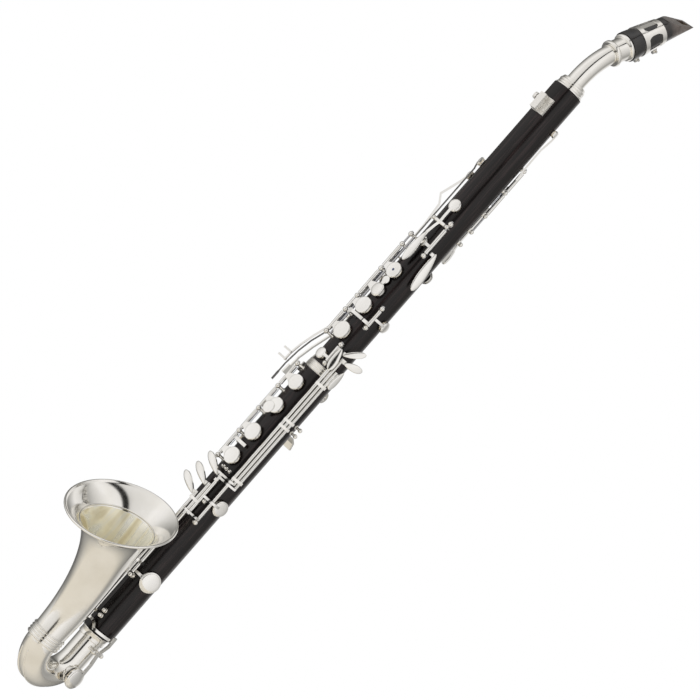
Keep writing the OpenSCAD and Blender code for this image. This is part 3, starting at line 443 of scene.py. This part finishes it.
def bead(ring):
    """Rings of a soft round bead on the inside of the bell's wall, where its outside is the given ring."""
    y, z, tilt, r = ring
    t = math.radians(tilt)
    rings = []
    for i in range(BEAD_SIDES):
        q = 2 * math.pi * i / BEAD_SIDES
        along = BEAD_HALF_LEN * math.sin(q)
        inside = r - WALL + BEAD_SINK - BEAD_R * math.cos(q)
        rings.append((y - along * math.sin(t), z + along * math.cos(t), tilt, inside))
    return rings


def build_bell():
    steps, sides = 72, 144
    rings = [bell_at(BELL_LEN * (1 - (1 - i / steps) ** 1.5)) for i in range(steps)]
    y, z, tilt, r = bell_at(BELL_LEN)
    t = math.radians(tilt)
    rim = []
    for i in range(ROLL_STEPS + 1):
        a = math.radians(ROLL_FROM + ROLL_TURN * i / ROLL_STEPS)
        along, out = ROLL_R * math.sin(a), ROLL_R * math.cos(a)
        rim.append((y - along * math.sin(t), z + along * math.cos(t), tilt, r - ROLL_SINK + out))
    bell = swept_shell("bell_shell", rings, WALL, sides, SILVER, "body", "silver_plate", rim=rim,
                       stands_for=("bell",))
    bell.data.materials.append(BELL_INSIDE)
    # Soft lip where the polished flare turns into the throat
    polished_r = LIP_R + WALL
    fine = 400
    along_bell = (bell_at(BELL_LEN * i / fine) for i in range(fine))
    at_lip = next(ring for ring in along_bell if ring[3] > polished_r)
    piece("bell_lip", swept_points(bead(at_lip), 120), grid_faces(BEAD_SIDES, 120, True), SILVER, "body",
          "silver_plate")
    # The throat's inside, up to where the flare is polished
    first_inside = len(rings) + len(rim)
    for polygon in bell.data.polygons:
        inside_row = min(polygon.vertices) // sides - first_inside
        if 0 <= inside_row < steps - 1 and rings[steps - 1 - inside_row][3] < polished_r:
            polygon.material_index = 1


def build_bow():
    turns = 72
    rings = [(-2 * BOW_BEND_R, -BOW_D + BELL_LEG * i / 4, -180, BOW_R2) for i in range(4, 0, -1)]
    for i in range(turns, -1, -1):
        t = math.pi * i / turns
        rings.append((-BOW_BEND_R * (1 - math.cos(t)), -BOW_D - BOW_BEND_R * math.sin(t),
                      -math.degrees(t), BOW_R1 + (BOW_R2 - BOW_R1) * i / turns))
    rings += [(0, -BOW_D + (BOW_D - BODY_LEN - 1) * i / 6, 0, BOW_R1) for i in range(1, 7)]
    swept_shell("bow_tube", rings, WALL, 96, SILVER, "body", "silver_plate", stands_for=("bow",))
    seat = Matrix.Translation(LOW_SEAT) @ Matrix.Rotation(math.radians(90), 4, "Y")
    chimney = [(8.3, 0), (9.2, 0), (9.35, 0.3), (9.35, 3.6), (9.5, 4.2), (9.3, 4.75), (8.9, 4.85), (8.4, 4.7),
               (8.3, 4.2)]
    lathe("bow_tone_hole", chimney, SILVER, "body", "silver_plate", seat, closed=True)
    # Soldered sleeve at the wood
    sleeve = [(13.4, -8), (14.3, -8), (14.6, -7.4), (14.3, -6.8), (14.3, -1.6), (14.8, -1.2), (15.1, -0.5),
              (14.8, 0.2), (13.4, 0.2)]
    lathe("bow_sleeve", sleeve, SILVER, "body", "silver_plate", Matrix.Translation((0, 0, -BODY_LEN - 1.2)),
          closed=True, sides=96)


def build_bow_guards():
    """Two wires along the outside of the bend, which thin out at their ends."""
    count, sides = 60, 12
    for side, away in (("left", GUARD_AWAY), ("right", -GUARD_AWAY)):
        points = []
        for i in range(count + 1):
            t = math.radians(GUARD_FROM + GUARD_TURN * i / count)
            r = BOW_R1 + (BOW_R2 - BOW_R1) * t / math.pi
            q = math.radians(away)
            fade = min(1, 9 * min(i, count - i) / count)
            wire = 0.35 + 0.5 * fade
            lift = r + 0.15
            far = BOW_BEND_R + lift * math.cos(q)
            centre = Vector((lift * math.sin(q), -BOW_BEND_R + far * math.cos(t), -BOW_D - far * math.sin(t)))
            out = Vector((math.sin(q), math.cos(q) * math.cos(t), -math.cos(q) * math.sin(t)))
            ahead = Vector((0, -math.sin(t), -math.cos(t)))
            across = out.cross(ahead)
            for k in range(sides):
                a = 2 * math.pi * k / sides
                points.append(centre + (out * math.cos(a) + across * math.sin(a)) * wire)
        piece("bow_guard_" + side, points, grid_faces(count + 1, sides, False)
              + [tuple(range(sides)), tuple(range(count * sides, (count + 1) * sides))],
              SILVER, "body", "silver_plate")


def build_neck():
    rings = [(0, -NECK_TENON + (NECK_RISE + NECK_TENON) * i / 6, 0, NECK_R) for i in range(6)]
    turns = 40
    for i in range(turns + 1):
        t = math.radians(NECK_BEND * i / turns)
        rings.append((NECK_BEND_R * (1 - math.cos(t)), NECK_RISE + NECK_BEND_R * math.sin(t),
                      -math.degrees(t), NECK_R))
    swept_shell("neck_bend", rings, NECK_WALL, 72, SILVER, "neck", "silver_plate", stands_for=("neck_tube",))


# Height and radius at a strip's two ends, half its waist, and what it gains on each side at its ends
STRIP_FROM, STRIP_TO, STRIP_WAIST, STRIP_FLARE = (18.9, 14.86), (38.0, 13.5), 2.7, 3.6


def build_ligature_strips():
    """Waisted strips that join the ligature's two bands on the side away from the reed."""
    rows, columns, thick = 16, 9, 0.8
    for side, middle in (("left", -48), ("right", -132)):
        points = []
        for i in range(rows):
            t = i / (rows - 1)
            z = STRIP_FROM[0] + (STRIP_TO[0] - STRIP_FROM[0]) * t
            r = STRIP_FROM[1] + (STRIP_TO[1] - STRIP_FROM[1]) * t
            half = STRIP_WAIST + STRIP_FLARE * abs(2 * t - 1) ** 3
            across = [math.radians(middle) + half / r * (2 * k / (columns - 1) - 1) for k in range(columns)]
            inner = r - thick
            points += [(r * math.cos(a), r * math.sin(a), z) for a in across]
            points += [(inner * math.cos(a), inner * math.sin(a), z) for a in reversed(across)]
        loop = 2 * columns
        piece("ligature_strip_" + side, points, grid_faces(rows, loop, False)
              + [tuple(range(loop)), tuple(range((rows - 1) * loop, rows * loop))],
              SILVER, "mouthpiece_end", "silver_plate", at_mouthpiece(), smooth=False)


# ---------------------------------------------------------------- keywork

INDEX_D, LINKED_D = 238, 262
# Finger plates: key, distance below the top, radius, and the stack that they are on
PLATES = (("lh_index", INDEX_D, 8.1, "u"), ("lh_middle", 282, 8.6, "u"), ("lh_ring", 313, 8.9, "u"),
          ("rh_index", 379, 7.9, "l"), ("rh_middle", 408, 8.1, "l"), ("rh_ring", 441, 8.8, "l"),
          ("rh_lower", 471, 8.6, "l"))


def pad_profile(r):
    """Pad of a finger plate: a soft face below, and a swollen edge that draws in under the cup."""
    shape = ((0, 0), (0.5, 0.02), (0.8, 0.06), (0.93, 0.16), (0.985, 0.4), (1, 0.75), (0.985, 1.05),
             (0.95, 1.2), (0.93, 1.35), (0.93, 1.57), (0, 1.57))
    return [(r * share, height) for share, height in shape]


def plate_top(r):
    """Finger plate over its cup: a crisp rounded edge and a nearly flat, slightly dished face."""
    edge = ((1.0, -0.3), (0.35, -0.12), (0.05, 0.12), (0, 0.36), (0.12, 0.6), (0.4, 0.76), (0.9, 0.8))
    dish = ((0.75, 0.74), (0.5, 0.66), (0.25, 0.62), (0, 0.6))
    return ([(r - inset, CUP_H + height) for inset, height in edge]
            + [(r * share, CUP_H + height) for share, height in dish])


def domed_top(r, crown):
    """Dome on a pad cup, set in a little from the cup's edge."""
    base = r - 0.95
    angles = [math.radians(q) for q in range(8, 90, 9)]
    dome = [(base * math.cos(q), CUP_H + crown * math.sin(q)) for q in angles]
    return [(base - 0.15, CUP_H - 0.2), (base, CUP_H - 0.02)] + dome + [(0, CUP_H + crown)]


def build_plates():
    for name, d, r, stack in PLATES:
        line, a, seat = (STACK_U, 0, SEAT_U) if stack == "u" else (STACK_L, STACK_A, SEAT_L)
        opened = about(line, -OPEN_DEG)
        top = opened @ face(d, a, z=seat + OVER_SEAT)
        lathe(name + "_plate_top", plate_top(r), KEYS, name + "_key", "key_plate", top, sides=64)
        pad = lathe(name + "_soft_pad", pad_profile(r - 0.6), PAD, name + "_key", "pad_skin",
                    opened @ face(d, a, z=seat + SEAT_GAP), stands_for=(name + "_pad",))
    # Tiny vent in the index finger's plate
    vent = about(STACK_U, -OPEN_DEG) @ face(INDEX_D, 0, z=SEAT_U + OVER_SEAT)
    dimple = [(r, CUP_H + z) for r, z in ((0, 0.66), (0.7, 0.66), (0.95, 0.8), (1.3, 0.78), (1.5, 0.5))]
    lathe("lh_index_vent", dimple, BLUED, "lh_index_key", "key_plate", vent, sides=24)
    # Second, overlapping plate beside the right middle finger's
    extra = about(STACK_L, -OPEN_DEG) @ face(413.5, STACK_A, x=-4.2, z=SEAT_L + OVER_SEAT)
    raised = [(r, z + 0.85) for r, z in plate_top(6.4)]
    lathe("rh_middle_side_plate", raised, KEYS, "rh_middle_key", "key_plate", extra, sides=56)
    linked = about(STACK_U, -OPEN_DEG) @ face(LINKED_D, 0, z=SEAT_U + OVER_SEAT)
    lathe("linked_cup_top", domed_top(7.2, 0.9), KEYS, "linked_key", "key_plate", linked, sides=64)


# Closed pad cups: body, distance, angle, radius, seat, crown
CUPS = (("throat_a_key", 154, 7, 6.4, SEAT_U, 0.9), ("throat_g_sharp_key", 199.4, 2, 5.4, SEAT_U, 0.7),
        ("cross_key", 285, 98, 6, SEAT_U, 0.9), ("c_sharp_key", 342.5, -8, 5.8, SEAT_U, 0.8),
        ("register_vent_key", 40, 111, 4, SEAT_U, 0.7), ("sliver_key", 456, -85, 4.6, SEAT_L, 0.7),
        ("rh_pinky_key_1", 517, 74, 8.2, SEAT_L, 1.1), ("rh_pinky_key_2", 613, 60, 10.6, SEAT_L, 1.4),
        ("side_key_1", 105, -52, 4.6, SEAT_U, 0.7), ("side_key_2", 121, -72, 4.6, SEAT_U, 0.7),
        ("side_key_3", 250, -92, 4.6, SEAT_U, 0.7), ("side_key_4", 275, -112, 4.6, SEAT_U, 0.7))


def pad_edge(r):
    """Swollen edge of the pad that shows between a cup and its seat."""
    shape = ((1.4, 0.1), (0.75, 0.1), (0.5, 0.35), (0.42, 0.8), (0.5, 1.3), (0.7, 1.55), (1.4, 1.55))
    return [(r - inset, height) for inset, height in shape]


def build_cups():
    for body, d, a, r, seat, crown in CUPS:
        lathe(body + "_cup_top", domed_top(r, crown), KEYS, body, "key_plate",
              face(d, a, z=seat + OVER_SEAT), sides=56)
        pad = lathe(body + "_pad_edge", pad_edge(r), PAD, body, "pad_skin", face(d, a, z=seat + SEAT_GAP),
                    sides=56, closed=True)
    thumb = about(THUMB_HINGE, OPEN_DEG) @ face(*THUMB_CUP, z=SEAT_U + OVER_SEAT)
    lathe("thumb_cup_top", domed_top(7, 0.9), KEYS, "thumb_key", "key_plate", thumb, sides=56)
    # Lowest key: its cup faces +X and rests open
    pivot = Matrix.Translation((LOW_PIVOT_X, 0, -LOW_PIVOT_D))
    swing = pivot @ Matrix.Rotation(math.radians(-LOW_OPEN_DEG), 4, "Y") @ pivot.inverted()
    cup = (swing @ Matrix.Translation((14.5 + SEAT_GAP, LOW_SEAT[1], LOW_SEAT[2]))
           @ Matrix.Rotation(math.radians(90), 4, "Y"))
    dome = [(r, z + PAD_H + 0.2) for r, z in domed_top(10.6, 1.9)]
    lathe("low_cup_top", dome, KEYS, "low_key", "key_plate", cup, sides=64)
    pad = lathe("low_pad_edge", pad_edge(10.8), PAD, "low_key", "pad_skin", cup, sides=64, closed=True)


def leaf_frame(d, a, z, tilt=0, slant=0):
    """Local frame of a touch that points down the body; slant turns it, and a positive tilt sinks its end."""
    return (face(d, a, z=z) @ Matrix.Rotation(math.radians(slant - 90), 4, "Z")
            @ Matrix.Rotation(math.radians(tilt), 4, "Y"))


def build_touches():
    # Body, frame of its touch, length, width, height of the touch's top and the crown on it
    touches = [
        ("throat_a_key", leaf_frame(190.5, 6, 24.7), 35, 10.4, 1.7, 1.0),
        ("throat_g_sharp_key", leaf_frame(200.5, 57, 20.6, 0, 7), 42, 11.5, 1.8, 1.1),
        ("c_sharp_key", leaf_frame(331, 46, 21.1, 0, 130), 23, 8.4, 1.8, 0.8),
        ("lh_pinky_lever_1", leaf_frame(326.5, 35, 24, 0, 8), 24, 10.5, 1.8, 0.9),
        ("lh_pinky_lever_2", leaf_frame(336, 60, 24.1, -4, 105), 20, 9.5, 1.8, 0.9),
        ("lh_pinky_lever_3", leaf_frame(342.5, 78, 22.4, 0, -4), 22, 9.4, 1.8, 0.9),
        ("register_touch_key", leaf_frame(184, 160, 20.7), 18, 9, 1.7, 0.8)]
    # The right little finger's three touches fan out round the body
    for number, d, a in ((1, 492, 3), (2, 507, -4), (3, 521, -15)):
        t = math.radians(a)
        leaf = (face(d, 0, 24.6 * math.sin(t) + 3, -1.5, 24.4 * math.cos(t))
                @ Matrix.Rotation(math.radians(156), 4, "Z"))
        touches.append((f"rh_pinky_key_{number}", leaf, 27, 9.6, 1.8, 1.3))
    for body, matrix, length, width, top, crown in touches:
        pillow(body + "_touch_top", length, width, body, matrix, top, crown)


def slotted_screw(name, matrix, r):
    """Round screw head with a slot, standing on local Z."""
    count = 32
    half = r * 0.16
    points = []
    crown_r = r * 0.7
    profile = [(r, -0.6), (r, 0.25), (r * 0.93, 0.42), (crown_r, 0.55)]
    for px, pz in profile:
        for k in range(count):
            a = 2 * math.pi * k / count
            points.append((px * math.cos(a), px * math.sin(a), pz))
    faces = grid_faces(len(profile), count, False)
    ring = (len(profile) - 1) * count
    # The crown is two halves, with the slot's floor below the gap between them
    low = len(points)
    for k in range(count):
        a = 2 * math.pi * k / count
        x, y = crown_r * math.cos(a), crown_r * math.sin(a)
        side = 1 if y >= 0 else -1
        points.append((x, side * max(abs(y), half), 0.58))
    faces += [(ring + k, ring + (k + 1) % count, low + (k + 1) % count, low + k) for k in range(count)
              if (k + 1) % count != 0 and k + 1 != count // 2]
    faces.append(tuple(low + k for k in range(count // 2)))
    faces.append(tuple(low + k for k in range(count // 2, count)))
    floor = len(points)
    points += [(-crown_r, -half, 0.1), (crown_r, -half, 0.1), (crown_r, half, 0.1), (-crown_r, half, 0.1)]
    faces.append((floor, floor + 1, floor + 2, floor + 3))
    piece(name, points, faces, STEEL, "body", "steel", matrix, smooth=False)


PIVOT_R = 1.25


def build_screws():
    """Pivot screws at the ends of the hinge lines: line, and the distances of its top and bottom."""
    ends = ((STACK_U, 201, 325.5), (STACK_L, 365, 482), ((20.5, 35), 170.3, 211), ((20, 46), 273.3, 298.6),
            ((20.5, 25), 324.4, 349), ((19.2, 128), 85, 163), (THUMB_HINGE, 208, 238))
    for number, (line, top, bottom) in enumerate(ends, 1):
        x, y = polar(*line)
        up = Matrix.Translation((x, y, -top + 2.5))
        down = Matrix.Translation((x, y, -bottom - 0.2)) @ Matrix.Rotation(math.pi, 4, "X")
        slotted_screw(f"pivot_screw_{number}_top", up, PIVOT_R)
        slotted_screw(f"pivot_screw_{number}_bottom", down, PIVOT_R)


# How far the milling stops short of a head's faces, its depth, and its gap from the head
KNURL_INSET, KNURL_DEPTH, KNURL_GAP = 0.3, 0.32, 0.02


def build_knurls():
    """Milled edges on the thumb screws."""
    to_left, to_right = (Matrix.Rotation(math.radians(turn), 4, "Y") for turn in (90, -90))
    # Body, frame of the head, its radius and its height; the lyre's milling is shallow, to clear its socket
    heads = [("lyre_screw", Matrix.Translation((-7.1, -21.2, -24.2)) @ to_right, 3.22, 3.2)]
    for name, z in zip(("ligature_screw_lower", "ligature_screw_upper"), LIGATURE_SCREWS):
        head = at_mouthpiece() @ Matrix.Translation((-12.5, 17.2, z)) @ to_left
        heads.append((name, head, 3.8, 5.4))
    teeth = 22
    for name, head, r, h in heads:
        points = []
        rows = ((KNURL_INSET, 0), (2 * KNURL_INSET, KNURL_DEPTH), (h - 2 * KNURL_INSET, KNURL_DEPTH),
                (h - KNURL_INSET, 0))
        for z, out in rows:
            for k in range(teeth * 2):
                a = math.pi * k / teeth
                q = r + KNURL_GAP + (out if k % 2 else 0)
                points.append((q * math.cos(a), q * math.sin(a), z))
        inner = r - KNURL_INSET
        for z in (h - KNURL_INSET, KNURL_INSET):
            for k in range(teeth * 2):
                a = math.pi * k / teeth
                points.append((inner * math.cos(a), inner * math.sin(a), z))
        piece(name + "_knurl", points, grid_faces(6, teeth * 2, True), SILVER, name, "silver_plate", head,
              smooth=False)


# ---------------------------------------------------------------- studio

# The camera: degrees round from the front, degrees that the body leans in its picture, and its distance
# and half the width that it sees, in metres
VIEW_TURN, VIEW_LEAN, VIEW_DISTANCE, VIEW_HALF = 36.8, 48.9, 2.3, 0.334
# The floor's half side, and how far it lies below the piece
FLOOR_HALF, FLOOR_DROP = 0.9, 0.25
# Grey levels round the studio as reflections see it: share of a turn, from the front by way of -X, and level
TENT = ((0.0, 0.8), (0.06, 0.86), (0.1, 0.95), (0.15, 0.85), (0.2, 0.6), (0.26, 0.3), (0.34, 0.1), (0.4, 0.3),
        (0.45, 0.9), (0.52, 0.75), (0.58, 0.33), (0.62, 0.45), (0.67, 0.62), (0.72, 0.75), (0.8, 0.95),
        (0.882, 0.88), (0.892, 0.012), (0.924, 0.012), (0.934, 0.66), (0.96, 0.76), (1.0, 0.8))


def area_light(name, where, target, size, power, colour=(1, 1, 1)):
    """Soft lamp aimed at target, which lights the piece but shows in no reflection."""
    data = bpy.data.lights.new(name, "AREA")
    data.shape = "RECTANGLE"
    data.size, data.size_y = size
    data.energy = power
    data.color = colour
    light = bpy.data.objects.new(name, data)
    light.location = where
    direction = Vector(target) - Vector(where)
    light.rotation_euler = direction.to_track_quat("-Z", "Y").to_euler()
    light.visible_glossy = False
    bpy.context.scene.collection.objects.link(light)


def build_floor():
    mesh = bpy.data.meshes.new("floor")
    low = cad_box[0][2] - FLOOR_DROP
    corners = [(x * FLOOR_HALF, y * FLOOR_HALF, low) for x, y in ((-1, -1), (1, -1), (1, 1), (-1, 1))]
    mesh.from_pydata(corners, [], [(0, 1, 2, 3)])
    floor = bpy.data.objects.new("floor", mesh)
    mat, tree, shader = new_material("floor")
    # Pure white where it is seen; where it is mirrored, painted shade: cream in front, darkening to grey
    # behind the piece, so that the metal shows darker reflections at the back
    where = tree.nodes.new("ShaderNodeTexCoord")
    behind = tree.nodes.new("ShaderNodeVectorMath")
    behind.operation = "DOT_PRODUCT"
    turn = math.radians(VIEW_TURN)
    behind.inputs[1].default_value = (-math.sin(turn), math.cos(turn), 0)
    tree.links.new(where.outputs["Object"], behind.inputs[0])
    share = tree.nodes.new("ShaderNodeMapRange")
    share.inputs["From Min"].default_value = -0.5
    share.inputs["From Max"].default_value = 0.9
    tree.links.new(behind.outputs["Value"], share.inputs["Value"])
    # Painted shade on the floor's colour: cream in front, grey then dark grey behind
    painted_floor_shade = ((0.3, (0.97, 0.92, 0.82)), (0.5, (0.5, 0.49, 0.46)), (0.8, (0.2, 0.2, 0.2)))
    tree.links.new(ramp(tree, share.outputs["Result"], painted_floor_shade), shader.inputs["Base Color"])
    shader.inputs["Roughness"].default_value = 0.9
    shader.inputs["Emission Color"].default_value = (1, 1, 1, 1)
    seen = tree.nodes.new("ShaderNodeLightPath")
    tree.links.new(spread(tree, seen.outputs["Is Camera Ray"], 0.0, 1.0), shader.inputs["Emission Strength"])
    mesh.materials.append(mat)
    bpy.context.scene.collection.objects.link(floor)


def build_world():
    """Reflections see a bright tent with a few darker gaps; the camera sees plain white."""
    world = bpy.data.worlds.new("studio")
    bpy.context.scene.world = world
    world.use_nodes = True
    tree = world.node_tree
    sky = tree.nodes["Background"]
    sky.inputs["Strength"].default_value = 1.0
    where = tree.nodes.new("ShaderNodeTexCoord")
    split = tree.nodes.new("ShaderNodeSeparateXYZ")
    tree.links.new(where.outputs["Generated"], split.inputs["Vector"])
    turn = tree.nodes.new("ShaderNodeMath")
    turn.operation = "ARCTAN2"
    tree.links.new(split.outputs["X"], turn.inputs[0])
    tree.links.new(split.outputs["Y"], turn.inputs[1])
    share = tree.nodes.new("ShaderNodeMapRange")
    share.inputs["From Min"].default_value = -math.pi
    share.inputs["From Max"].default_value = math.pi
    tree.links.new(turn.outputs["Value"], share.inputs["Value"])
    # Slightly warm greys, and warmest where they are darkest
    stops = [(at, (level, level * 0.985, level * (0.93 + 0.05 * level))) for at, level in TENT]
    tent = ramp(tree, share.outputs["Result"], stops)
    path = tree.nodes.new("ShaderNodeLightPath")
    mix = tree.nodes.new("ShaderNodeMix")
    mix.data_type = "RGBA"
    tree.links.new(path.outputs["Is Camera Ray"], mix.inputs["Factor"])
    tree.links.new(tent, mix.inputs["A"])
    mix.inputs["B"].default_value = (1, 1, 1, 1)
    tree.links.new(mix.outputs["Result"], sky.inputs["Color"])


def build_camera():
    """Level view from the front and the player's left, rolled so that the body leans to the right.

    Returns the picture's right and up, the way from the target to the camera, and the target.
    """
    around, lean = math.radians(VIEW_TURN), math.radians(VIEW_LEAN)
    right_flat = Vector((math.cos(around), math.sin(around), 0))
    up_world = Vector((0, 0, 1))
    back = Vector((math.sin(around), -math.cos(around), 0))
    right = up_world * math.cos(lean) + right_flat * math.sin(lean)
    up = up_world * math.sin(lean) - right_flat * math.cos(lean)
    target = place((0, 0, -322.5)) + right_flat * 5.7 * MM
    data = bpy.data.cameras.new("camera")
    data.sensor_fit = "HORIZONTAL"
    data.angle = 2 * math.atan(VIEW_HALF / VIEW_DISTANCE)
    camera = bpy.data.objects.new("camera", data)
    turn = Matrix((right, up, back)).transposed().to_4x4()
    camera.matrix_world = Matrix.Translation(target + back * VIEW_DISTANCE) @ turn
    bpy.context.scene.collection.objects.link(camera)
    bpy.context.scene.camera = camera
    return right, up, back, target


dress_cad_nodes()
build_bell()
build_bow()
build_bow_guards()
build_neck()
build_ligature_strips()
build_plates()
build_cups()
build_touches()
build_screws()
build_knurls()
build_floor()
build_world()
right, up, back, target = build_camera()
area_light("key", target + back * 1.5 + up * 1.3 - right * 0.6, target, (0.7, 1.0), 9)
area_light("fill", target + back * 1.2 - up * 1.2 + right * 0.9, target, (0.5, 0.9), 4, (1, 0.98, 0.95))
area_light("rim", target - back * 1.3 + up * 1.0 + right * 0.8, target, (0.8, 0.8), 5)
bpy.context.scene.view_settings.view_transform = "Standard"
